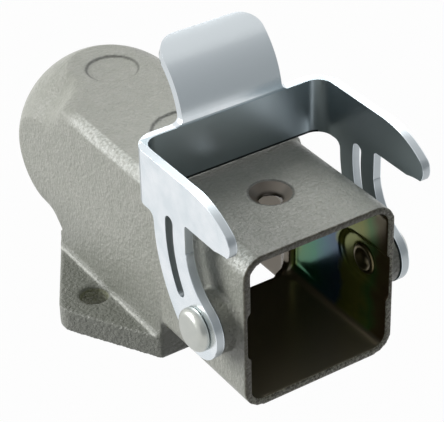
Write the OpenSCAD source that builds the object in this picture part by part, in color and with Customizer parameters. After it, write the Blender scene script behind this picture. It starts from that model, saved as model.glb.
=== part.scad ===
// Angled panel-mount connector housing, size 3A, with a single locking lever.
// Origin: midway between the two fixing holes, on the mounting plane.
// +Z points away from the panel, and the mating shell opens towards -Y.

/* [Mating shell] */
// Outer width and height of the square shell
shell_w = 25; // [24:0.5:30]
// Distance from the line of the fixing holes to the rim
shell_reach = 37; // [34:0.5:42]
// Outer corner radius of the shell
shell_corner_r = 3.2; // [2:0.2:4.5]
// Gap between the flange top and the underside of the shell
shell_lift = 1.2; // [0.6:0.1:3]
// Width and height of the pocket that the contact insert slides into
insert_w = 22.8; // [21.4:0.1:23]
// Corner radius of the insert pocket
insert_corner_r = 2; // [1:0.1:3]
// Depth of the pocket, from the rim to the shoulder where the elbow begins
insert_depth = 22.2; // [20:0.1:24]
// Width of the pad that thickens the top wall round the insert screw
screw_pad_w = 12; // [9:0.5:16]
// Thickness that this pad adds to the wall
screw_pad_t = 0.75; // [0.5:0.05:1.2]
// Distance from the rim to the hole of the insert screw
screw_setback = 11.8; // [10:0.1:16]
// Clearance hole of the insert screw
screw_hole_d = 3.4; // [2.8:0.1:4]
// Outer diameter of the countersink of that hole
screw_sink_d = 6.3; // [5:0.1:8]
// Depth of the countersink
screw_sink_depth = 1.15; // [0.6:0.05:1.4]

/* [Elbow] */
// Wall thickness of the elbow
elbow_wall = 2; // [1.4:0.1:2.4]
// Edge radius along the top of the elbow
elbow_edge_r = 1.8; // [0.6:0.1:2.5]
// Distance from the fixing-hole line to the back of the base
base_rear = 14.6; // [12.5:0.1:17]
// Distance from the fixing-hole line to the front of the base
base_front = 15; // [14:0.1:17]
// Radius of the ball-shaped back
ball_r = 14.4; // [13.5:0.1:16]
// Distance from the fixing-hole line to the centre of the ball
ball_y = 18.9; // [17:0.1:21]
// Height of the centre of the ball above the panel
ball_z = 16.85; // [16:0.05:18]
// Radius of the hollow blend that runs from the square body into the ball
blend_r = 9; // [8:0.1:12]
// Height of the step under the overhanging back
heel_h = 2.6; // [1.5:0.1:4]
// Diameter of the plain round recess on the back of the top
rear_mark_d = 8.2; // [6:0.1:10]
// Distance of that recess from the fixing-hole line
rear_mark_y = 17.1; // [14:0.1:19]
// Diameter of the plain round recess behind the lever
front_mark_d = 12; // [8:0.1:14]
// Distance of that recess in front of the fixing-hole line
front_mark_y = 5.2; // [3:0.1:7]
// Depth of the two round recesses
mark_depth = 0.35; // [0.1:0.05:0.5]

/* [Flange] */
// Thickness of the flange
flange_t = 3.8; // [3:0.1:5]
// Distance between the two fixing holes
hole_spacing = 30; // [29:0.5:36]
// Diameter of the fixing holes
hole_d = 4.3; // [3.2:0.1:5]
// Distance from a fixing hole to the sharp tip of its end of the flange
tip_beyond_hole = 6.1; // [4.5:0.1:7]
// Rounding of each end of the flange
tip_r = 3; // [1.5:0.1:4]
// Thickness of the flange skin above the hollow underside
flange_skin = 1.6; // [1.2:0.1:2.2]
// Width of the rim round the hollow underside
skirt_w = 1.7; // [1.2:0.1:2.2]
// Radius of the fillet between the body and the flange
foot_r = 1.2; // [0.4:0.1:1.4]
// Width of the cable opening in the base
cable_w = 22; // [18:0.5:22.4]
// Wall of the base in front of and behind the cable opening
base_wall = 1.3; // [1.1:0.1:2.5]

/* [Locking lever] */
// Thickness of the lever's sheet
sheet_t = 1.3; // [1:0.1:1.6]
// Distance between the inner faces of the two arms
arm_gap = 29.9; // [29:0.1:34]
// Inner radius of the two bends
bend_r = 2.4; // [1.2:0.1:3]
// Distance from the rim back to the pivot
pivot_setback = 5.8; // [4.8:0.1:8]
// Distance from the pivot back to the inner face of the cross bar
bar_back = 14.75; // [14:0.05:18]
// Height of the cross bar, measured along the sheet
bar_h = 8.6; // [7:0.1:10]
// Gap between the cross bar and the top of the shell with the lever open
bar_gap = 0.6; // [0.4:0.1:1.5]
// Radius of the round eye at the foot of each arm
eye_r = 4.6; // [4:0.1:5.5]
// Distance in front of the pivot of the centre that each arm curves about
arm_curve_ahead = 10.8; // [9.5:0.1:11.5]
// Distance in front of the pivot of the centre of the round throat under the hook
throat_ahead = 6.2; // [5.5:0.1:6.5]
// Height of the mouth of the throat, above the lower edge of the cross bar
throat_rise = 2.3; // [1.6:0.1:3]
// Reach of the hook in front of the pivot
hook_reach = 8.2; // [7:0.1:9]
// Radius of the top edge of the hook
hook_top_r = 13.6; // [12.5:0.1:15]
// Width of the spring slot in each arm
slot_w = 1.9; // [1.2:0.1:2.4]
// Width of the strip of sheet behind the spring slot
slot_strip = 2.95; // [2.5:0.05:3.6]
// Angle at which the spring slot ends at the top
slot_top_angle = 4.5; // [0:0.5:6]
// Angle at which the spring slot ends at the foot
slot_foot_angle = 30; // [26:1:32]
// Width of the grip tab
tab_w = 16.4; // [12:0.1:18]
// Radius of the curled front face of the grip tab
tab_curl_r = 12.25; // [10:0.25:16]
// Angle through which the grip tab curls back
tab_angle = 67; // [50:1:80]
// Corner radius of the free end of the grip tab
tab_corner_r = 3.4; // [1.5:0.1:4]

/* [Rivets] */
// Diameter of the rivet shank
rivet_d = 4; // [3:0.1:4.4]
// Running clearance between the shank and the eye, on the radius
pivot_clearance = 0.05; // [0.02:0.01:0.1]
// Diameter of the rivet head
head_d = 6.4; // [5.4:0.1:7]
// Height of the rivet head
head_h = 1.35; // [1.15:0.05:2.2]
// Rounding of the edge of the head
head_edge_r = 1; // [0.4:0.1:1.1]
// Clearance between the arm and the faces on each side of it
side_clearance = 0.1; // [0.05:0.01:0.2]
// Diameter of the boss that carries the rivet
boss_d = 9; // [8:0.1:9.4]
// Width of the slot inside the shell that clears the rivet's closing head
tail_slot_w = 7.4; // [6.6:0.1:8]
// Depth of that slot, which runs out at the rim
tail_slot_depth = 0.45; // [0.4:0.05:0.5]
// Distance from the pivot back to the centre of the slot's round end
tail_slot_back = 1.6; // [0.5:0.1:2.5]
// Diameter of the closing head
tail_d = 4.8; // [4.6:0.1:5.6]
// Thickness of the closing head
tail_h = 0.35; // [0.25:0.05:0.4]

/* [Hidden] */

paint = [0.52, 0.52, 0.48];
zinc = [0.80, 0.83, 0.85];
steel = [0.84, 0.84, 0.80];

over = 1;                                  // how far a cutting solid runs past a face
round_fn = 96;                             // segments of the round outlines

shell_half = shell_w / 2;
shell_bottom = flange_t + shell_lift;
shell_top = shell_bottom + shell_w;
shell_mid = shell_bottom + shell_half;
rim_y = -shell_reach;
insert_half = insert_w / 2;
shell_wall = shell_half - insert_half;
insert_floor = shell_mid - insert_half;
insert_top = shell_mid + insert_half;
insert_end = rim_y + insert_depth;
pad_face = insert_top - screw_pad_t;
elbow_inner_half = shell_half - elbow_wall;
screw_y = rim_y + screw_setback;

// The body is square up to the place where the hollow blend reaches its corners.
corner_reach = norm([shell_half, shell_top - ball_z]);
blend_rise = corner_reach - ball_r;
square_end = ball_y - sqrt(blend_r * blend_r - pow(blend_r - blend_rise, 2));
heel_top = flange_t + heel_h;
well_front = -base_front + base_wall;
well_rear = base_rear - base_wall;

tip_x = hole_spacing / 2 + tip_beyond_hole;
hole_boss_r = hole_d / 2 + skirt_w;

arm_in = arm_gap / 2;
arm_out = arm_in + sheet_t;
pivot_y = rim_y + pivot_setback;
pivot_z = shell_mid;
boss_face = arm_in - side_clearance;
head_seat = arm_out + side_clearance;
tail_seat = insert_half + tail_slot_depth;

// Lever outline, seen from the side: u runs back from the pivot and v runs up from it.
bar_u = bar_back;
bar_v0 = shell_top + bar_gap - pivot_z;
bar_v1 = bar_v0 + bar_h;
arm_curve_drop = 0.7;                      // below the lower edge of the cross bar
arm_back_c = [-arm_curve_ahead, bar_v0 - arm_curve_drop];
arm_back_r = norm(arm_back_c) + eye_r;     // the back edge runs smoothly into the eye
throat_top = bar_v0 + throat_rise;
throat_c = [-throat_ahead, bar_v0 - 2 * arm_curve_drop];
throat_r = norm(throat_c) - eye_r;         // and so does the front edge
throat_corner_r = 0.6;
under_r = 12;                              // of the hollow under the hook
hook_rise = 0.5;
hook_top_c = [0.8, bar_v1 - hook_top_r];
nose_r = 2.2;                              // of the blunt tip, touching the top edge's arc
nose_c = hook_top_c + [
    nose_r - hook_reach - hook_top_c[0],
    sqrt((hook_top_r - nose_r) ^ 2 - (nose_r - hook_reach - hook_top_c[0]) ^ 2)
];
slot_r = arm_back_r - slot_strip - slot_w / 2;
curl_c = [bar_u + tab_curl_r, bar_v1 - sheet_t];
tab_fillet = 1;
window_r = 1.2;                            // where the legs meet the cross bar
lap = 0.2;                                 // how far joined outlines run into each other
hole_chamfer = 0.3;                        // round the top of each fixing hole
tail_dimple_r = 1.6;                       // left by the tool that closes the rivet
tail_dimple_h = 0.5;
sill_chamfer = 0.9;                        // where the pocket's floor drops into the base
screw_pad_ahead = 5;                       // of the insert screw

module at_pivot() {
    translate([0, pivot_y, pivot_z]) children();
}

// Turns an outline drawn in (y, z) into a solid centred on x = 0.
module across(width) {
    rotate([90, 0, 90]) translate([0, 0, -width / 2]) linear_extrude(width) children();
}

// Turns an outline drawn in (x, z) into a solid that runs from y0 to y1.
module along(y0, y1) {
    translate([0, y1, 0]) rotate([90, 0, 0]) linear_extrude(y1 - y0) children();
}

// A square outline with true arcs at its four corners, centred on the origin.
module rounded_square(w, h, r) {
    square([w - 2 * r, h], center = true);
    square([w, h - 2 * r], center = true);
    for (sx = [-1, 1], sz = [-1, 1])
        translate([sx * (w / 2 - r), sz * (h / 2 - r)]) circle(r, $fn = round_fn);
}

// Section of the elbow: flat sides and top, with a small radius on the two top edges.
module elbow_section(z0) {
    r = elbow_edge_r;
    translate([-shell_half, z0]) square([shell_w, shell_top - r - z0]);
    translate([-shell_half + r, z0]) square([shell_w - 2 * r, shell_top - z0]);
    for (s = [-1, 1])
        translate([s * (shell_half - r), shell_top - r]) circle(r, $fn = round_fn);
}

// Half section of the back, turned about an axis parallel to Y through the ball's centre:
// a hollow arc that falls from the square body, then the ball.
module back_half_section() {
    difference() {
        translate([0, -lap]) square([corner_reach, ball_y - square_end + lap]);
        translate([ball_r + blend_r, ball_y - square_end]) circle(blend_r, $fn = round_fn * 2);
    }
    translate([0, ball_y - square_end]) intersection() {
        circle(ball_r, $fn = round_fn * 2);
        square([ball_r, ball_r]);
    }
}

module elbow_back() {
    intersection() {
        translate([0, square_end, ball_z]) rotate([-90, 0, 0])
            rotate_extrude($fn = round_fn * 2) back_half_section();
        along(square_end - over, ball_y + ball_r + over) elbow_section(heel_top);
    }
}

// Outline of the flange: two rounded tips at the fixing holes, flush with the base.
module flange_outline(inset) {
    front = base_front - inset;
    rear = base_rear - inset;
    half = shell_half - inset;
    for (s = [-1, 1]) scale([s, 1]) flange_half(half, front, rear, inset);
}

module flange_half(half, front, rear, inset) {
    a_front = atan2(base_front, tip_x - shell_half);
    a_rear = atan2(base_rear, tip_x - shell_half);
    r = tip_r - inset;
    cx = tip_x - tip_r / sin((a_front + a_rear) / 2);
    polygon([
        [0, -front], [half, -front],
        [cx + r * sin(a_front), -r * cos(a_front)],
        [cx, 0],
        [cx + r * sin(a_rear), r * cos(a_rear)],
        [half, rear], [0, rear]
    ]);
    translate([cx, 0]) circle(r, $fn = round_fn);
}

// Fillet along the foot of each side wall, cut back round the screw heads.
module foot_fillets() {
    difference() {
        intersection() {
            linear_extrude(flange_t + foot_r) flange_outline(0);
            for (s = [-1, 1]) scale([s, 1, 1]) along(-base_front, base_rear) difference() {
                translate([shell_half - over, flange_t - over])
                    square([foot_r + over, foot_r + over]);
                translate([shell_half + foot_r, flange_t + foot_r])
                    circle(foot_r, $fn = round_fn);
            }
        }
        for (s = [-1, 1]) translate([s * hole_spacing / 2, 0, flange_t])
            cylinder(h = 2 * foot_r, r = hole_d / 2 + foot_r, $fn = round_fn);
    }
}

module fixing_holes() {
    for (s = [-1, 1])
        translate([s * hole_spacing / 2, 0, -over])
            cylinder(h = flange_t + 2 * over, d = hole_d, $fn = round_fn);
    for (s = [-1, 1])
        translate([s * hole_spacing / 2, 0, flange_t - hole_chamfer])
            cylinder(h = hole_chamfer + lap, r1 = hole_d / 2,
                     r2 = hole_d / 2 + hole_chamfer + lap, $fn = round_fn);
}

// The hollow underside of the flange, with a boss left round each fixing hole.
module flange_hollow() {
    translate([0, 0, -over]) linear_extrude(flange_t - flange_skin + over) difference() {
        flange_outline(skirt_w);
        for (s = [-1, 1])
            translate([s * hole_spacing / 2, 0]) circle(hole_boss_r, $fn = round_fn);
    }
}

// The pocket for the contact insert, with the pad that its screw goes through.
module insert_pocket() {
    difference() {
        translate([0, 0, shell_mid]) along(rim_y - over, insert_end)
            rounded_square(insert_w, insert_w, insert_corner_r);
        translate([-screw_pad_w / 2, screw_y - screw_pad_ahead, pad_face])
            cube([screw_pad_w, insert_end + over - screw_y + screw_pad_ahead, shell_half]);
    }
}

// Everything the cores of the casting leave open: insert pocket, elbow and base.
module cavity() {
    elbow_top = shell_top - elbow_wall;
    insert_pocket();
    translate([0, 0, (insert_floor + elbow_top) / 2]) along(insert_end - lap, well_front + over)
        rounded_square(2 * elbow_inner_half, elbow_top - insert_floor, insert_corner_r);
    across(2 * elbow_inner_half - 2 * insert_corner_r) polygon([
        [well_front - sill_chamfer - lap, insert_floor + lap],
        [well_front + lap, insert_floor - sill_chamfer - lap],
        [well_front + lap, insert_floor + lap]
    ]);
    translate([-elbow_inner_half, well_front, ball_z])
        cube([2 * elbow_inner_half, square_end - well_front, elbow_top - ball_z]);
    intersection() {
        translate([0, ball_y, ball_z]) sphere(ball_r - elbow_wall, $fn = round_fn);
        translate([-elbow_inner_half, 0, heel_top + elbow_wall])
            cube([2 * elbow_inner_half, ball_y + ball_r, shell_top - heel_top - 2 * elbow_wall]);
    }
    translate([0, (well_front + well_rear) / 2, -over])
        linear_extrude(ball_z + 2 * over)
            rounded_square(cable_w, well_rear - well_front, insert_corner_r);
}

module rivet_bosses() {
    at_pivot() for (s = [-1, 1]) rotate([0, s * 90, 0])
        translate([0, 0, shell_half - shell_wall / 2])
            cylinder(h = boss_face - shell_half + shell_wall / 2, d = boss_d, $fn = round_fn);
}

module rivet_bores() {
    at_pivot() for (s = [-1, 1]) rotate([0, s * 90, 0])
        cylinder(h = arm_out, d = rivet_d, $fn = round_fn);
}

// The shallow slots for the closing heads, round at the back and open at the rim.
module tail_slots() {
    round_end = pivot_y + tail_slot_back;
    across(2 * tail_seat) {
        translate([round_end, pivot_z]) circle(d = tail_slot_w, $fn = round_fn);
        translate([rim_y - over, pivot_z - tail_slot_w / 2])
            square([round_end - rim_y + over, tail_slot_w]);
    }
}

// Countersunk hole for the screw that holds the contact insert.
module insert_screw_hole() {
    translate([0, screw_y, pad_face - over])
        cylinder(h = shell_top - pad_face + 2 * over, d = screw_hole_d, $fn = round_fn);
    translate([0, screw_y, shell_top - screw_sink_depth])
        cylinder(h = screw_sink_depth, d1 = screw_hole_d, d2 = screw_sink_d, $fn = round_fn);
    translate([0, screw_y, shell_top])
        cylinder(h = over, d = screw_sink_d, $fn = round_fn);
}

module round_marks() {
    translate([0, rear_mark_y, shell_top - mark_depth])
        cylinder(h = over, d = rear_mark_d, $fn = round_fn);
    translate([0, -front_mark_y, shell_top - mark_depth])
        cylinder(h = over, d = front_mark_d, $fn = round_fn);
}

// The die-cast housing, in one piece: shell, elbow, base and flange.
module housing() {
    color(paint) difference() {
        union() {
            translate([0, 0, shell_mid]) along(rim_y, lap - base_front)
                rounded_square(shell_w, shell_w, shell_corner_r);
            along(-base_front, square_end) elbow_section(flange_t / 2);
            elbow_back();
            translate([-shell_half, square_end - over, flange_t / 2])
                cube([shell_w, base_rear - square_end + over, heel_top - flange_t / 2]);
            linear_extrude(flange_t) flange_outline(0);
            foot_fillets();
            rivet_bosses();
        }
        cavity();
        flange_hollow();
        fixing_holes();
        rivet_bores();
        tail_slots();
        insert_screw_hole();
        round_marks();
    }
}

// Side outline of one arm with the edge of the cross bar.
module arm_outline() {
    leg_u = arm_back_c[0] + arm_back_r;
    difference() {
        union() {
            upper_plate();
            leg();
            // fillet between the leg and the lower edge of the cross bar
            translate([leg_u - lap, bar_v0 - window_r])
                square([window_r + lap, window_r + lap]);
        }
        translate([leg_u + window_r, bar_v0 - window_r]) circle(window_r, $fn = round_fn);
        throat();
    }
    circle(eye_r, $fn = round_fn);
}

// Flat plate beside the cross bar, with the hook that reaches forward from it.
module upper_plate() {
    translate([hook_top_c[0], bar_v0])
        square([bar_u + sheet_t - hook_top_c[0], bar_v1 - bar_v0]);
    intersection() {
        translate(hook_top_c) circle(hook_top_r, $fn = round_fn * 2);
        union() {
            translate([nose_c[0], bar_v0])
                square([hook_top_c[0] + over - nose_c[0], bar_v1 - bar_v0]);
            polygon([nose_c, 2 * nose_c - hook_top_c, [nose_c[0] + over, bar_v1]]);
            translate(nose_c) circle(nose_r, $fn = round_fn);
        }
    }
}

// Curved leg, from the plate down to the eye.
module leg() {
    tail = -2 * eye_r * arm_back_c / norm(arm_back_c);
    intersection() {
        translate(arm_back_c) circle(arm_back_r, $fn = round_fn * 2);
        polygon([
            [0, 0], tail, [bar_u, tail[1]], [bar_u, bar_v0 + lap],
            [throat_c[0], bar_v0 + lap], throat_c
        ]);
    }
}

// The opening between the leg and the hook, where the peg of the hood comes to lie.
module throat() {
    r = throat_corner_r;
    front_u = throat_c[0] + throat_r;
    intersection() {
        translate(throat_c) circle(throat_r, $fn = round_fn);
        translate([throat_c[0] - throat_r, 0]) square([2 * throat_r, throat_c[1]]);
    }
    translate([throat_c[0] - throat_r, throat_c[1] - over])
        square([2 * throat_r, throat_top - r - throat_c[1] + over]);
    translate([throat_c[0] - throat_r, throat_c[1]])
        square([2 * throat_r - r, throat_top - throat_c[1]]);
    translate([front_u - r, throat_top - r]) circle(r, $fn = round_fn);
    // the underside of the hook rises towards its tip
    intersection() {
        translate([-hook_reach, throat_top + hook_rise - under_r])
            circle(under_r, $fn = round_fn);
        translate([-hook_reach - over, throat_top - r]) square([hook_reach, 2 * r]);
    }
}

module spring_slot() {
    a0 = -slot_foot_angle;
    a1 = slot_top_angle;
    translate(arm_back_c) {
        difference() {
            circle(slot_r + slot_w / 2, $fn = round_fn * 2);
            circle(slot_r - slot_w / 2, $fn = round_fn * 2);
            rotate(a1) translate([-2 * slot_r, 0]) square([4 * slot_r, 2 * slot_r]);
            rotate(a0) translate([-2 * slot_r, -2 * slot_r]) square([4 * slot_r, 2 * slot_r]);
        }
        for (a = [a0, a1]) rotate(a) translate([slot_r, 0]) circle(slot_w / 2, $fn = round_fn);
    }
}

// The sheet seen from above: cross bar, two bends and two straight arms.
module lever_plan() {
    back = bar_u + sheet_t;
    r_out = bend_r + sheet_t;
    front = -hook_reach - over;
    difference() {
        union() {
            translate([-arm_out, front]) square([2 * arm_out, back - r_out - front]);
            translate([-arm_out + r_out, front]) square([2 * (arm_out - r_out), back - front]);
            for (s = [-1, 1])
                translate([s * (arm_out - r_out), back - r_out]) circle(r_out, $fn = round_fn);
        }
        translate([-arm_in, front - over]) square([2 * arm_in, bar_u - bend_r - front + over]);
        translate([-arm_in + bend_r, front - over])
            square([2 * (arm_in - bend_r), bar_u - front + over]);
        for (s = [-1, 1])
            translate([s * (arm_in - bend_r), bar_u - bend_r]) circle(bend_r, $fn = round_fn);
    }
}

// The tab from the front: its sides meet the cross bar in small fillets.
module tab_front() {
    top = curl_c[1] + tab_curl_r + over;
    translate([-tab_w / 2, curl_c[1]]) square([tab_w, top - curl_c[1]]);
    for (s = [-1, 1]) difference() {
        translate([s * (tab_w + tab_fillet) / 2, bar_v1 + (tab_fillet - lap) / 2])
            square([tab_fillet + lap, tab_fillet + lap], center = true);
        translate([s * (tab_w / 2 + tab_fillet), bar_v1 + tab_fillet])
            circle(tab_fillet, $fn = round_fn);
    }
}

// The grip tab: a strip rolled back about a line parallel to X, with rounded free corners.
module grip_tab() {
    intersection() {
        across(tab_w + 4) curl_section();
        along(bar_u - over, curl_c[0] + over) tab_front();
        translate([0, curl_c[0], curl_c[1]]) rotate([180 - tab_angle, 0, 0])
            along(0, 2 * tab_curl_r) tab_free_end();
    }
}

// Section of the curl: a ring cut off at its foot and at its free end.
module curl_section() {
    span = 4 * tab_curl_r;
    translate(curl_c) difference() {
        circle(tab_curl_r, $fn = round_fn * 2);
        circle(tab_curl_r - sheet_t, $fn = round_fn * 2);
        translate([-span / 2, -span]) square(span);
        rotate(180 - tab_angle) translate([-span / 2, -span]) square(span);
    }
}

// Outline of the tab, seen square to its free end.
module tab_free_end() {
    length = 2 * tab_curl_r;
    r = tab_corner_r;
    translate([-tab_w / 2 - 2, r]) square([tab_w + 4, length]);
    translate([-tab_w / 2 + r, 0]) square([tab_w - 2 * r, length]);
    for (s = [-1, 1]) translate([s * (tab_w / 2 - r), r]) circle(r, $fn = round_fn);
}

// The locking lever, bent from one sheet.
module locking_lever() {
    color(zinc) at_pivot() {
        difference() {
            intersection() {
                across(2 * arm_out) difference() {
                    arm_outline();
                    spring_slot();
                }
                translate([0, 0, -2 * eye_r]) linear_extrude(bar_v1 + 4 * eye_r) lever_plan();
            }
            rotate([0, 90, 0]) translate([0, 0, -arm_out - over])
                cylinder(h = 2 * (arm_out + over), r = rivet_d / 2 + pivot_clearance,
                         $fn = round_fn);
        }
        grip_tab();
    }
}

// Half section of a rivet, from the closing head inside the shell to the outer head.
module rivet_half_section() {
    r = head_edge_r;
    tail_end = tail_seat - tail_h;
    difference() {
        union() {
            translate([0, tail_end]) square([tail_d / 2, tail_h]);
            translate([0, tail_end]) square([rivet_d / 2, head_seat + lap - tail_end]);
        }
        polygon([[0, tail_end - lap], [tail_dimple_r, tail_end - lap],
                 [tail_dimple_r, tail_end], [0, tail_end + tail_dimple_h]]);
    }
    translate([0, head_seat]) {
        square([head_d / 2, head_h - r]);
        square([head_d / 2 - r, head_h]);
        intersection() {
            translate([head_d / 2 - r, head_h - r]) circle(r, $fn = round_fn);
            square([head_d / 2, head_h]);
        }
    }
}

module rivet(side) {
    color(steel) at_pivot() rotate([0, side * 90, 0])
        rotate_extrude($fn = round_fn) rivet_half_section();
}

module rivet_left() {
    rivet(-1);
}

module rivet_right() {
    rivet(1);
}

housing();
locking_lever();
rivet_left();
rivet_right();
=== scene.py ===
"""The looks of an angled connector housing with one locking lever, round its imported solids."""

import math

import bmesh
import bpy
import numpy as np
from mathutils import Matrix, Vector


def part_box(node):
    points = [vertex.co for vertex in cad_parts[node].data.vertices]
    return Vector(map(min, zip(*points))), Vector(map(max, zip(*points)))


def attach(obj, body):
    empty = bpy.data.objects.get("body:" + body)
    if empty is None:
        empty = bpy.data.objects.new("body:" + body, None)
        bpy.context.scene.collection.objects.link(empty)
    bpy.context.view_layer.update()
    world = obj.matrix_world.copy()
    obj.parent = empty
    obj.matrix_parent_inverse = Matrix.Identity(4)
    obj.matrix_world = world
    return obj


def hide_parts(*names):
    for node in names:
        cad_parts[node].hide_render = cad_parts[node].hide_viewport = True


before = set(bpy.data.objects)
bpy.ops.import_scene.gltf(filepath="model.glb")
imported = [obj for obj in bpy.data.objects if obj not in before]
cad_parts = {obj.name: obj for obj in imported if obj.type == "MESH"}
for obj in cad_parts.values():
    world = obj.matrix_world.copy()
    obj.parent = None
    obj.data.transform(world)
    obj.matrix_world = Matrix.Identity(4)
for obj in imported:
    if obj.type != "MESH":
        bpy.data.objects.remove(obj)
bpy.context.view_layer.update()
scene = bpy.context.scene


# Camera: a long lens above the left front corner, looking down into the mouth of the shell.
# Its place is in metres, and its angles are in degrees.
camera_place = (-0.12184, -0.20213, 0.1715)
camera_heading = -32.76
camera_dip = 33.92
camera_roll = -1.48
camera = bpy.data.objects.new("camera", bpy.data.cameras.new("camera"))
camera.data.sensor_width = 36
camera.data.lens = 152.3
camera.data.clip_start = 0.01
camera.matrix_world = (
    Matrix.Translation(camera_place)
    @ Matrix.Rotation(math.radians(camera_heading), 4, "Z")
    @ Matrix.Rotation(math.radians(90 - camera_dip), 4, "X")
    @ Matrix.Rotation(math.radians(camera_roll), 4, "Z")
)
scene.collection.objects.link(camera)
scene.camera = camera


# Housing: one zinc die casting with soft edges, under thick hammer-finish paint. The cores of
# the mould leave the inside bare, and there the metal is chromated: dark, with a play of colour.
MM = 0.001
# places on the casting, in millimetres
rim_y = -37.0
shell_middle_z = 17.5
screw_y = -25.2
fixing_hole_x = 15
ball_middle = (0, 18.9, 16.85)
rear_mark_y, rear_mark_width = 17.1, 8.2
front_mark_y, front_mark_width = -5.2, 12.0


class Value:
    """An output socket that takes part in ordinary arithmetic."""

    def __init__(self, nodes, socket):
        self.nodes = nodes
        self.socket = socket

    def work(self, operation, *values, clamp=False):
        settings = {"operation": operation, "use_clamp": clamp}
        return self.nodes.node("ShaderNodeMath", settings, dict(enumerate(values)))

    def __add__(self, other):
        return self.work("ADD", self, other)

    def __sub__(self, other):
        return self.work("SUBTRACT", self, other)

    def __rsub__(self, other):
        return self.work("SUBTRACT", other, self)

    def __mul__(self, other):
        return self.work("MULTIPLY", self, other)

    def __truediv__(self, other):
        return self.work("DIVIDE", self, other)

    def __gt__(self, other):
        return self.work("GREATER_THAN", self, other)

    def __lt__(self, other):
        return self.work("LESS_THAN", self, other)

    def __or__(self, other):
        return self.work("MAXIMUM", self, other)

    def __and__(self, other):
        return self.work("MINIMUM", self, other)

    __radd__ = __add__
    __rmul__ = __mul__

    def size(self):
        """The value without its sign."""
        return self.work("ABSOLUTE", self)

    def ramp(self, low, high):
        """0 up to low, 1 from high on, and a straight rise between them."""
        return self.work("DIVIDE", self - low, high - low, clamp=True)

    def within(self, low, high):
        return (self > low) & (self < high)


class Nodes:
    """A node tree that node() fills."""

    def __init__(self, tree):
        self.tree = tree
        tree.nodes.clear()

    def node(self, kind, settings=None, values=None, out=0):
        made = self.tree.nodes.new(kind)
        for name, value in (settings or {}).items():
            if name == "stops":
                stops = made.color_ramp.elements
                while len(stops) < len(value):
                    stops.new(0.5)
                for stop, (position, colour) in zip(stops, value):
                    stop.position = position
                    stop.color = colour
            else:
                setattr(made, name, value)
        for key, value in (values or {}).items():
            sockets = [s for s in made.inputs if s.enabled]
            socket = sockets[key] if isinstance(key, int) else next(
                s for s in sockets if s.name == key)
            if isinstance(value, Value):
                self.tree.links.new(value.socket, socket)
            else:
                socket.default_value = value
        outputs = [s for s in made.outputs if s.enabled]
        if not outputs:
            return None
        return Value(self, outputs[out] if isinstance(out, int) else made.outputs[out])

    def place(self):
        """A point of the piece in millimetres, and its X, Y and Z."""
        point = self.node("ShaderNodeTexCoord", out="Object")
        point = self.node("ShaderNodeVectorMath", {"operation": "SCALE"},
                          {"Vector": point, "Scale": 1 / MM})
        x = self.node("ShaderNodeSeparateXYZ", values={0: point})
        return point, x, *(Value(self, x.socket.node.outputs[i]) for i in (1, 2))

    def noise(self, point, scale, detail=2.0, roughness=0.5):
        return self.node("ShaderNodeTexNoise", {"noise_dimensions": "3D"}, {
            "Vector": point, "Scale": scale, "Detail": detail, "Roughness": roughness})

    def blend(self, share, a, b):
        return self.node("ShaderNodeMix", {"data_type": "RGBA"}, {"Factor": share, "A": a, "B": b})

    def ramp(self, value, *stops):
        return self.node("ShaderNodeValToRGB", {"stops": stops}, {"Fac": value})

    def distance(self, point, middle):
        return self.node("ShaderNodeVectorMath", {"operation": "DISTANCE"},
                         {0: point, 1: middle}, "Value")

    def bump(self, height, distance):
        return self.node("ShaderNodeBump", values={
            "Height": height, "Distance": distance, "Strength": 1.0})


def new_material(name):
    material = bpy.data.materials.new(name)
    material.use_nodes = True
    return material, Nodes(material.node_tree)


def tint(red, green, blue):
    """A colour given from 0 to 255 as a screen shows it, in the linear values of a shader."""
    def linear(v):
        v /= 255
        return v / 12.92 if v <= 0.04045 else ((v + 0.055) / 1.055) ** 2.4
    return (linear(red), linear(green), linear(blue), 1)


def merged_copy(node, name):
    """A new piece with a copy of a solid's mesh, its loose triangles joined."""
    piece = bpy.data.objects.new(name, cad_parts[node].data.copy())
    scene.collection.objects.link(piece)
    shape = bmesh.new()
    shape.from_mesh(piece.data)
    bmesh.ops.remove_doubles(shape, verts=shape.verts, dist=0.001 * MM)
    shape.to_mesh(piece.data)
    shape.free()
    piece.data.materials.clear()
    return piece


def apply_modifiers(piece):
    """Turn what the modifiers make of a piece into its plain mesh."""
    piece_now = piece.evaluated_get(bpy.context.evaluated_depsgraph_get())
    mesh = bpy.data.meshes.new_from_object(piece_now)
    piece.modifiers.clear()
    piece.data = mesh


def slope(value, low, high):
    """What Value.ramp() works out, for an array of points."""
    return np.clip((value - low) / (high - low), 0, 1)


def soften(piece, rounds, group=""):
    smooth = piece.modifiers.new("soft edges", "SMOOTH")
    smooth.factor = 0.5
    smooth.iterations = rounds
    smooth.vertex_group = group


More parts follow.
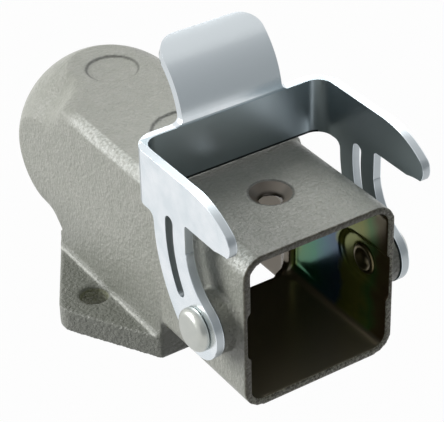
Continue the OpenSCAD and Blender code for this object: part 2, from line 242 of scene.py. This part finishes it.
def cast_body():
    piece = merged_copy("housing", "casting")
    skin = piece.modifiers.new("even skin", "REMESH")
    skin.mode = "VOXEL"
    skin.voxel_size = 0.28 * MM
    apply_modifiers(piece)
    # the ball runs into the square elbow without a crease, so the skin is melted there. The melt
    # fades out to the front, the rear and the base, and leaves the round mark on top crisp
    points = np.empty(len(piece.data.vertices) * 3, np.float32)
    piece.data.vertices.foreach_get("co", points)
    x, y, z = points.reshape(-1, 3).T / MM
    _, ball_y, ball_z = ball_middle
    side_skin, top_skin, ball_skin = 12.2, 29.6, 14.1
    from_ball = np.hypot(np.hypot(x, y - ball_y), z - ball_z)
    outside = (abs(x) > side_skin) | (z > top_skin) | (from_ball > ball_skin)
    weight = outside * slope(y, 7.5, 10) * slope(y, 20, 17) * slope(z, 8, 10)
    weight *= 1 - (z > 26) * slope(np.hypot(x, y - rear_mark_y), 6.4, 5.2)
    melt = piece.vertex_groups.new(name="melt")
    levels = 8
    for level in range(1, levels + 1):
        chosen = np.flatnonzero(np.round(weight * levels) == level)
        melt.add(chosen.tolist(), level / levels, "REPLACE")
    soften(piece, rounds=80, group="melt")
    soften(piece, rounds=3)
    thin_out = piece.modifiers.new("fewer faces on the flats", "DECIMATE")
    thin_out.ratio = 0.42
    apply_modifiers(piece)
    piece.data.shade_smooth()
    return piece


def bare_metal(n, point, x, y, z):
    """1 where the casting has no paint: inside, with each edge halfway through the wall."""
    side = x.size()
    pocket_half, pocket_corner = 11.95, 2.6
    straight = pocket_half - pocket_corner
    past = n.node("ShaderNodeCombineXYZ", values={
        "X": (side - straight) | 0.0, "Y": ((z - shell_middle_z).size() - straight) | 0.0})
    corner = n.node("ShaderNodeVectorMath", {"operation": "LENGTH"}, {0: past}, "Value")
    pocket = (corner < pocket_corner) & y.within(rim_y + 0.2, -14.0)

    def room(half, front, back, floor, roof):
        return (side < half) & y.within(front, back) & z.within(floor, roof)

    elbow = room(half=11.5, front=-15.4, back=12.5, floor=5.4, roof=28.9)
    base = room(half=11.75, front=-14.3, back=13.9, floor=-1, roof=17.5)
    ball = (n.distance(point, ball_middle) < 13.4) & (side < 11.5) & z.within(7.4, 28.9)
    return pocket | elbow | base | ball


def hammer_paint(n, point, x, y, z):
    """The colour of the paint with painted highlights and painted shade, and the height of its
    texture.
    """
    side = x.size()
    upright = n.node("ShaderNodeCombineXYZ", values={"X": x, "Y": y})
    folded = n.node("ShaderNodeCombineXYZ", values={"X": side, "Y": y})
    top = z > 28
    # the paint draws together into fine cells, with a paler fleck here and there
    beige, pale_beige = tint(166, 168, 158), tint(174, 175, 166)
    cell_grey, fleck_white = tint(140, 143, 133), tint(208, 210, 202)
    cells = n.noise(point, 1.9, 2.0, 0.5)
    waves = n.noise(point, 0.5, 2.0)
    flecks = n.noise(point, 3.6, 2.0)
    paint = n.blend(waves.ramp(0.35, 0.65), beige, pale_beige)
    paint = n.blend(cells.ramp(0.30, 0.62) * 0.35, paint, cell_grey)
    paint = n.blend(flecks.ramp(0.62, 0.75) * 0.35, paint, fleck_white)

    # painted highlights make the top edges bright, along the elbow and at the corners of the mouth
    painted_highlight_white = tint(232, 235, 229)
    edge = side + z
    elbow_edge = edge.ramp(40.78, 41.1) & y.ramp(10, 7) & y.ramp(-15.4, -14.8)
    mouth_edge = edge.ramp(39.9, 40.4) & y.ramp(-31.5, -34)
    grain = n.noise(point, 2.3, 3.0, 0.6).ramp(0.36, 0.60)
    painted_edge_highlight = elbow_edge * (grain * 0.60 + 0.08) | mouth_edge * grain * 0.85
    paint = n.blend(painted_edge_highlight, paint, painted_highlight_white)

    # painted shade darkens the foot, and a painted highlight lines the corner where the flange joins
    # the wall
    foot_painted_shade_grey, painted_join_highlight = tint(104, 107, 99), tint(220, 222, 214)
    join_x, join_z = 13.05, 4.0
    painted_foot_shade = z.ramp(15, 4) & (y > -15.5)
    paint = n.blend(painted_foot_shade * 0.6, paint, foot_painted_shade_grey)
    painted_join_line = (side - join_x).size().ramp(0.24, 0.08) & (z - join_z).size().ramp(0.34, 0.12)
    paint = n.blend(painted_join_line * (grain * 0.45 + 0.35), paint, painted_join_highlight)

    # it is thin and olive on the rim and in the fixing holes, and the rim is darkened with painted
    # shade
    rim_olive_and_shade, rim_painted_highlight = tint(84, 80, 64), tint(206, 207, 186)
    hole_olive, hole_worn = tint(128, 131, 108), tint(176, 178, 156)
    speck = n.noise(point, 2.4, 3.0, 0.6).ramp(0.42, 0.66)
    # painted highlight: the rim's specks grow lighter towards the bottom and the right
    painted_light_lower_right = z.ramp(9.0, 6.5) | x.ramp(9.5, 12.0)
    rim_paint = n.blend(speck * (painted_light_lower_right * 0.8 + 0.2), rim_olive_and_shade, rim_painted_highlight)
    paint = n.blend(y.ramp(rim_y + 0.35, rim_y + 0.15), paint, rim_paint)
    holes = (n.distance(folded, (fixing_hole_x, 0, 0)) < 2.3) & (z < 3.3)
    paint = n.blend(holes, paint, n.blend(speck, hole_olive, hole_worn))

    # painted shade darkens the rings of the sunk marks, and round the countersink
    mark_painted_shade, sink_painted_shade = tint(90, 92, 86), tint(70, 70, 64)
    for middle, width in ((rear_mark_y, rear_mark_width), (front_mark_y, front_mark_width)):
        from_ring = (n.distance(upright, (0, middle, 0)) - (width / 2 - 0.12)).size()
        paint = n.blend((from_ring.ramp(0.30, 0.05) & top) * 0.8, paint, mark_painted_shade)
    from_ring = (n.distance(upright, (0, screw_y, 0)) - 3.15).size()
    paint = n.blend((from_ring.ramp(0.28, 0.08) & top) * 0.7, paint, sink_painted_shade)
    return paint, cells + waves * 0.8 + flecks * 0.25


def chromate(n, point, x, y, z, sink):
    """The colour of the bare metal: a film on the side walls, browner further in."""
    # the film's colour follows its thickness, which changes along the pocket
    film_depth = 24.0
    drift = n.noise(point, 0.22, 2.0)
    film = n.ramp((y - rim_y + (drift - 0.5) * 5.0) / film_depth,
                  (0.00, tint(96, 78, 56)), (0.09, tint(104, 96, 62)),
                  (0.17, tint(88, 132, 72)), (0.27, tint(136, 142, 66)),
                  (0.42, tint(126, 136, 64)), (0.48, tint(70, 98, 130)),
                  (0.62, tint(66, 116, 130)), (0.73, tint(52, 136, 104)),
                  (0.86, tint(70, 138, 90)), (0.94, tint(150, 146, 50)),
                  (1.00, tint(100, 90, 66)))
    pocket_brown, elbow_brown = tint(158, 151, 132), tint(118, 108, 92)
    brown = n.blend(y.ramp(-15.2, -14.6), pocket_brown, elbow_brown)
    film = n.blend(x.size().ramp(10.5, 11.0) & (y < -14.6), brown, film)
    # a painted highlight lightens the countersink towards the right front, and painted shade darkens
    # its bore
    cone_painted_shade, cone_painted_highlight, bore_painted_shade = tint(100, 93, 83), tint(148, 140, 129), tint(52, 43, 34)
    cone = n.blend((x - y + screw_y).ramp(-2.5, 2.5), cone_painted_shade, cone_painted_highlight)
    return n.blend(sink, film, n.blend(z.ramp(28.5, 29.1), bore_painted_shade, cone))


def cast_finish():
    material, n = new_material("hammer_paint")
    place = n.place()
    _, x, y, z = place
    upright = n.node("ShaderNodeCombineXYZ", values={"X": x, "Y": y})
    sink = (n.distance(upright, (0, screw_y, 0)) < 3.0) & (z > 26)
    bare = bare_metal(n, *place) | sink
    paint, texture = hammer_paint(n, *place)
    shader = n.node("ShaderNodeBsdfPrincipled", values={
        "Base Color": n.blend(bare, paint, chromate(n, *place, sink)),
        "Metallic": bare * (0.45 - sink * 0.20),
        "Roughness": 0.36 - bare * 0.16 + sink * 0.15,
        "Normal": n.bump(texture * (1 - bare), 0.22 * MM)})
    n.node("ShaderNodeOutputMaterial", values={"Surface": shader})
    return material


casting = cast_body()
casting.data.materials.append(cast_finish())
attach(casting, "housing")
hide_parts("housing")


# Locking lever: one blank of spring steel, punched, bent to a U and curled into a grip, then
# zinc-plated. The punch and the tumbling leave its edges slightly round.
def bent_sheet():
    piece = merged_copy("locking_lever", "lever")
    shape = bmesh.new()
    shape.from_mesh(piece.data)
    bmesh.ops.dissolve_limit(shape, angle_limit=math.radians(0.5), verts=shape.verts,
                             edges=shape.edges)
    shape.to_mesh(piece.data)
    shape.free()
    piece.data.shade_smooth()
    # only the punched edges are rounded: the bends turn by less than this at each face
    edge = piece.modifiers.new("punched edge", "BEVEL")
    edge.width = 0.16 * MM
    edge.segments = 2
    edge.limit_method = "ANGLE"
    edge.angle_limit = math.radians(50)
    level = piece.modifiers.new("flat faces", "WEIGHTED_NORMAL")
    level.weight = 80
    apply_modifiers(piece)
    return piece


def zinc_plate():
    material, n = new_material("zinc_plate")
    point, x, y, z = n.place()
    side = x.size()
    bright_zinc, cloudy_zinc = tint(233, 238, 242), tint(219, 227, 232)
    inner_painted_shade_zinc, tab_zinc = tint(164, 176, 182), tint(204, 211, 215)
    edge_zinc, painted_contact_shade = tint(174, 181, 185), tint(60, 64, 66)
    cloud = n.noise(point, 0.25, 2.0)
    rub = n.noise(point, 0.9, 2.0)
    plate = n.blend(cloud.ramp(0.35, 0.65), bright_zinc, cloudy_zinc)
    # painted shade darkens the inside of the U; it is a little darker on the tab and duller on the
    # cut edges, and painted shade darkens the lower edge of the cross bar, close over the shell
    inner = (side < 15.0) & y.within(-40, -16.2) & z.within(0, 39.5)
    plate = n.blend(inner, plate, inner_painted_shade_zinc)
    plate = n.blend(z.ramp(39.2, 41.0), plate, tab_zinc)
    edges = side.within(15.05, 16.15) & (y < -17)
    plate = n.blend(edges, plate, edge_zinc)
    painted_shade_lower_edge = (side < 14) & y.within(-19, -14) & z.within(30, 30.95)
    plate = n.blend(painted_shade_lower_edge, plate, painted_contact_shade)
    shader = n.node("ShaderNodeBsdfPrincipled", values={
        "Base Color": plate,
        "Metallic": 1.0,
        "Roughness": 0.17 + rub * 0.10 + edges * 0.15 + inner * 0.10})
    n.node("ShaderNodeOutputMaterial", values={"Surface": shader})
    return material


lever = bent_sheet()
lever.data.materials.append(zinc_plate())
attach(lever, "lever")
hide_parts("locking_lever")


# Rivets: two headed steel pins. Each goes in through the lever's eye and the boss, and is
# closed inside the shell with a hollow punch. One is turned in mesh code, and both are set here.
def turned_rivet():
    low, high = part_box("rivet_right")
    radius = (high[2] - low[2]) / 2
    inner = low[0]
    outer = high[0]
    seat = outer - 1.36 * MM
    shank = 2.0 * MM
    burr = 0.08 * MM
    round_off = 1.0 * MM
    # radius and place along the pin: dimple, rolled lip, shank, and the underside of the head
    profile = [
        (0.0, inner + 0.55 * MM), (1.1 * MM, inner + 0.45 * MM), (1.55 * MM, inner + 0.02 * MM),
        (1.8 * MM, inner), (2.2 * MM, inner + 0.08 * MM), (2.4 * MM, inner + 0.3 * MM),
        (shank, inner + 0.36 * MM), (shank, seat), (radius - burr, seat), (radius, seat + burr),
    ]
    arc_steps = 8
    for i in range(arc_steps + 1):
        angle = math.radians(90) * i / arc_steps
        profile.append((radius - round_off + round_off * math.cos(angle),
                        outer - round_off + round_off * math.sin(angle)))
    profile.append((0.0, outer))
    steps = 64
    shape = bmesh.new()
    rings = []
    for r, along in profile:
        if r == 0:
            rings.append([shape.verts.new((along, 0, 0))])
        else:
            rings.append([
                shape.verts.new((along, r * math.cos(t), r * math.sin(t)))
                for t in (2 * math.pi * i / steps for i in range(steps))])
    for a, b in zip(rings, rings[1:]):
        for i in range(steps):
            j = (i + 1) % steps
            corners = [a[i % len(a)], a[j % len(a)], b[j % len(b)], b[i % len(b)]]
            shape.faces.new(list(dict.fromkeys(corners)))
    bmesh.ops.recalc_face_normals(shape, faces=shape.faces)
    mesh = bpy.data.meshes.new("rivet")
    shape.to_mesh(mesh)
    shape.free()
    return mesh


def rivet_steel():
    material, n = new_material("rivet_steel")
    point, x, *_ = n.place()
    dull_steel, pale_steel, tail_brown = tint(180, 184, 179), tint(192, 194, 188), tint(112, 104, 78)
    steel = n.blend(n.noise(point, 0.8, 2.0), dull_steel, pale_steel)
    # the end inside the shell is stained brown
    steel = n.blend(x.size() < 13, steel, tail_brown)
    shader = n.node("ShaderNodeBsdfPrincipled", values={
        "Base Color": steel,
        "Metallic": 1.0,
        "Roughness": 0.28 + n.noise(point, 3.0, 2.0) * 0.12})
    n.node("ShaderNodeOutputMaterial", values={"Surface": shader})
    return material


def rivet_pair():
    low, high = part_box("rivet_right")
    piece = bpy.data.objects.new("rivets", turned_rivet())
    scene.collection.objects.link(piece)
    tree = bpy.data.node_groups.new("rivet_pair", "GeometryNodeTree")
    n = Nodes(tree)
    panel = tree.interface
    panel.new_socket("Rivet", in_out="INPUT", socket_type="NodeSocketGeometry")
    pivot_in = panel.new_socket("Pivot", in_out="INPUT", socket_type="NodeSocketVector")
    finish_in = panel.new_socket("Finish", in_out="INPUT", socket_type="NodeSocketMaterial")
    panel.new_socket("Rivets", in_out="OUTPUT", socket_type="NodeSocketGeometry")
    rivet = n.node("NodeGroupInput")
    pivot, finish = (Value(n, rivet.socket.node.outputs[i]) for i in (1, 2))
    places = n.node("GeometryNodePoints", values={"Count": 2, "Position": pivot})
    number = n.node("GeometryNodeInputIndex")
    turn = n.node("ShaderNodeCombineXYZ", values={"Z": number * math.pi})
    turned = n.node("FunctionNodeEulerToRotation", values={0: turn})
    pair = n.node("GeometryNodeInstanceOnPoints",
                  values={"Points": places, "Instance": rivet, "Rotation": turned})
    real = n.node("GeometryNodeRealizeInstances", values={"Geometry": pair})
    done = n.node("GeometryNodeSetMaterial", values={"Geometry": real, "Material": finish})
    n.node("NodeGroupOutput", values={0: done})
    setting = piece.modifiers.new("rivet pair", "NODES")
    setting.node_group = tree
    setting[pivot_in.identifier] = (0, (low[1] + high[1]) / 2, (low[2] + high[2]) / 2)
    setting[finish_in.identifier] = rivet_steel()
    apply_modifiers(piece)
    piece.data.shade_smooth()
    return piece


rivets = rivet_pair()
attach(rivets, "housing")
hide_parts("rivet_left", "rivet_right")


# Floor: a plain white table that keeps a faint shadow. It looks white to the camera and in the
# metal, but is grey to the light, so that it throws little of it back at the object.
def see_white(n):
    """1 for the rays that show the white ground, and 0 for those that light the object."""
    seen = [n.node("ShaderNodeLightPath", out=f"Is {kind} Ray")
            for kind in ("Camera", "Glossy", "Transmission")]
    return seen[0] | seen[1] | seen[2]


def table():
    half = 1.5
    top = -0.0001
    mesh = bpy.data.meshes.new("table")
    mesh.from_pydata([(-half, -half, top), (half, -half, top), (half, half, top),
                      (-half, half, top)], [], [(0, 1, 2, 3)])
    piece = bpy.data.objects.new("table", mesh)
    scene.collection.objects.link(piece)
    material, n = new_material("table")
    lit = n.node("ShaderNodeBsdfDiffuse", values={"Color": (0.18, 0.18, 0.18, 1)})
    white = n.node("ShaderNodeEmission", values={"Color": (1, 1, 1, 1), "Strength": 1.0})
    whiteness = 0.98
    mixed = n.node("ShaderNodeMixShader", values={0: see_white(n) * whiteness, 1: lit, 2: white})
    n.node("ShaderNodeOutputMaterial", values={"Surface": mixed})
    mesh.materials.append(material)


table()


# Light: a white tent with a dark card in front, which metal sees as grey, paler to the top. A wide
# lamp stands low at the left back, a small one over it gives glints, and one hangs at the right.
def tent():
    world = bpy.data.worlds.new("tent")
    world.use_nodes = True
    scene.world = world
    n = Nodes(world.node_tree)
    room = n.node("ShaderNodeBackground", values={"Color": (1, 1, 1, 1), "Strength": 0.33})
    white = n.node("ShaderNodeBackground", values={"Color": (1, 1, 1, 1), "Strength": 1.0})
    mixed = n.node("ShaderNodeMixShader", values={0: see_white(n), 1: room, 2: white})
    n.node("ShaderNodeOutputWorld", values={"Surface": mixed})


def dark_card():
    left, right, front, top = -0.40, 0.75, -0.32, 0.62
    mesh = bpy.data.meshes.new("dark_card")
    mesh.from_pydata([(left, front, 0.0), (right, front, 0.0), (right, front, top),
                      (left, front, top)], [], [(0, 1, 2, 3)])
    piece = bpy.data.objects.new("dark_card", mesh)
    scene.collection.objects.link(piece)
    piece.visible_camera = False
    material, n = new_material("dark_card")
    *_, z = n.place()
    cloth = n.node("ShaderNodeBsdfDiffuse", values={"Color": (0.05, 0.05, 0.05, 1)})
    low_grey, high_grey = (0.48, 0.50, 0.51, 1), (0.74, 0.75, 0.76, 1)
    grey = n.node("ShaderNodeEmission", values={
        "Color": n.blend(z.ramp(60, top / MM), low_grey, high_grey)})
    mixed = n.node("ShaderNodeMixShader", values={
        0: n.node("ShaderNodeLightPath", out="Is Glossy Ray"), 1: cloth, 2: grey})
    n.node("ShaderNodeOutputMaterial", values={"Surface": mixed})
    mesh.materials.append(material)


def lamp(name, place, width, power):
    light = bpy.data.lights.new(name, "AREA")
    light.shape = "SQUARE"
    light.size = width
    light.energy = power
    holder = bpy.data.objects.new(name, light)
    holder.location = place
    middle = Vector((0, 0, 0.015))  # of the object, where each lamp points
    holder.rotation_euler = (middle - Vector(place)).to_track_quat("-Z", "Y").to_euler()
    scene.collection.objects.link(holder)


tent()
dark_card()
lamp("left", place=(-0.48, 0.31, 0.18), width=0.36, power=2.35)
lamp("glint", place=(-0.39, 0.30, 0.34), width=0.14, power=0.6)
lamp("above", place=(0.30, 0.27, 0.45), width=0.25, power=1.0)

scene.view_settings.view_transform = "Standard"
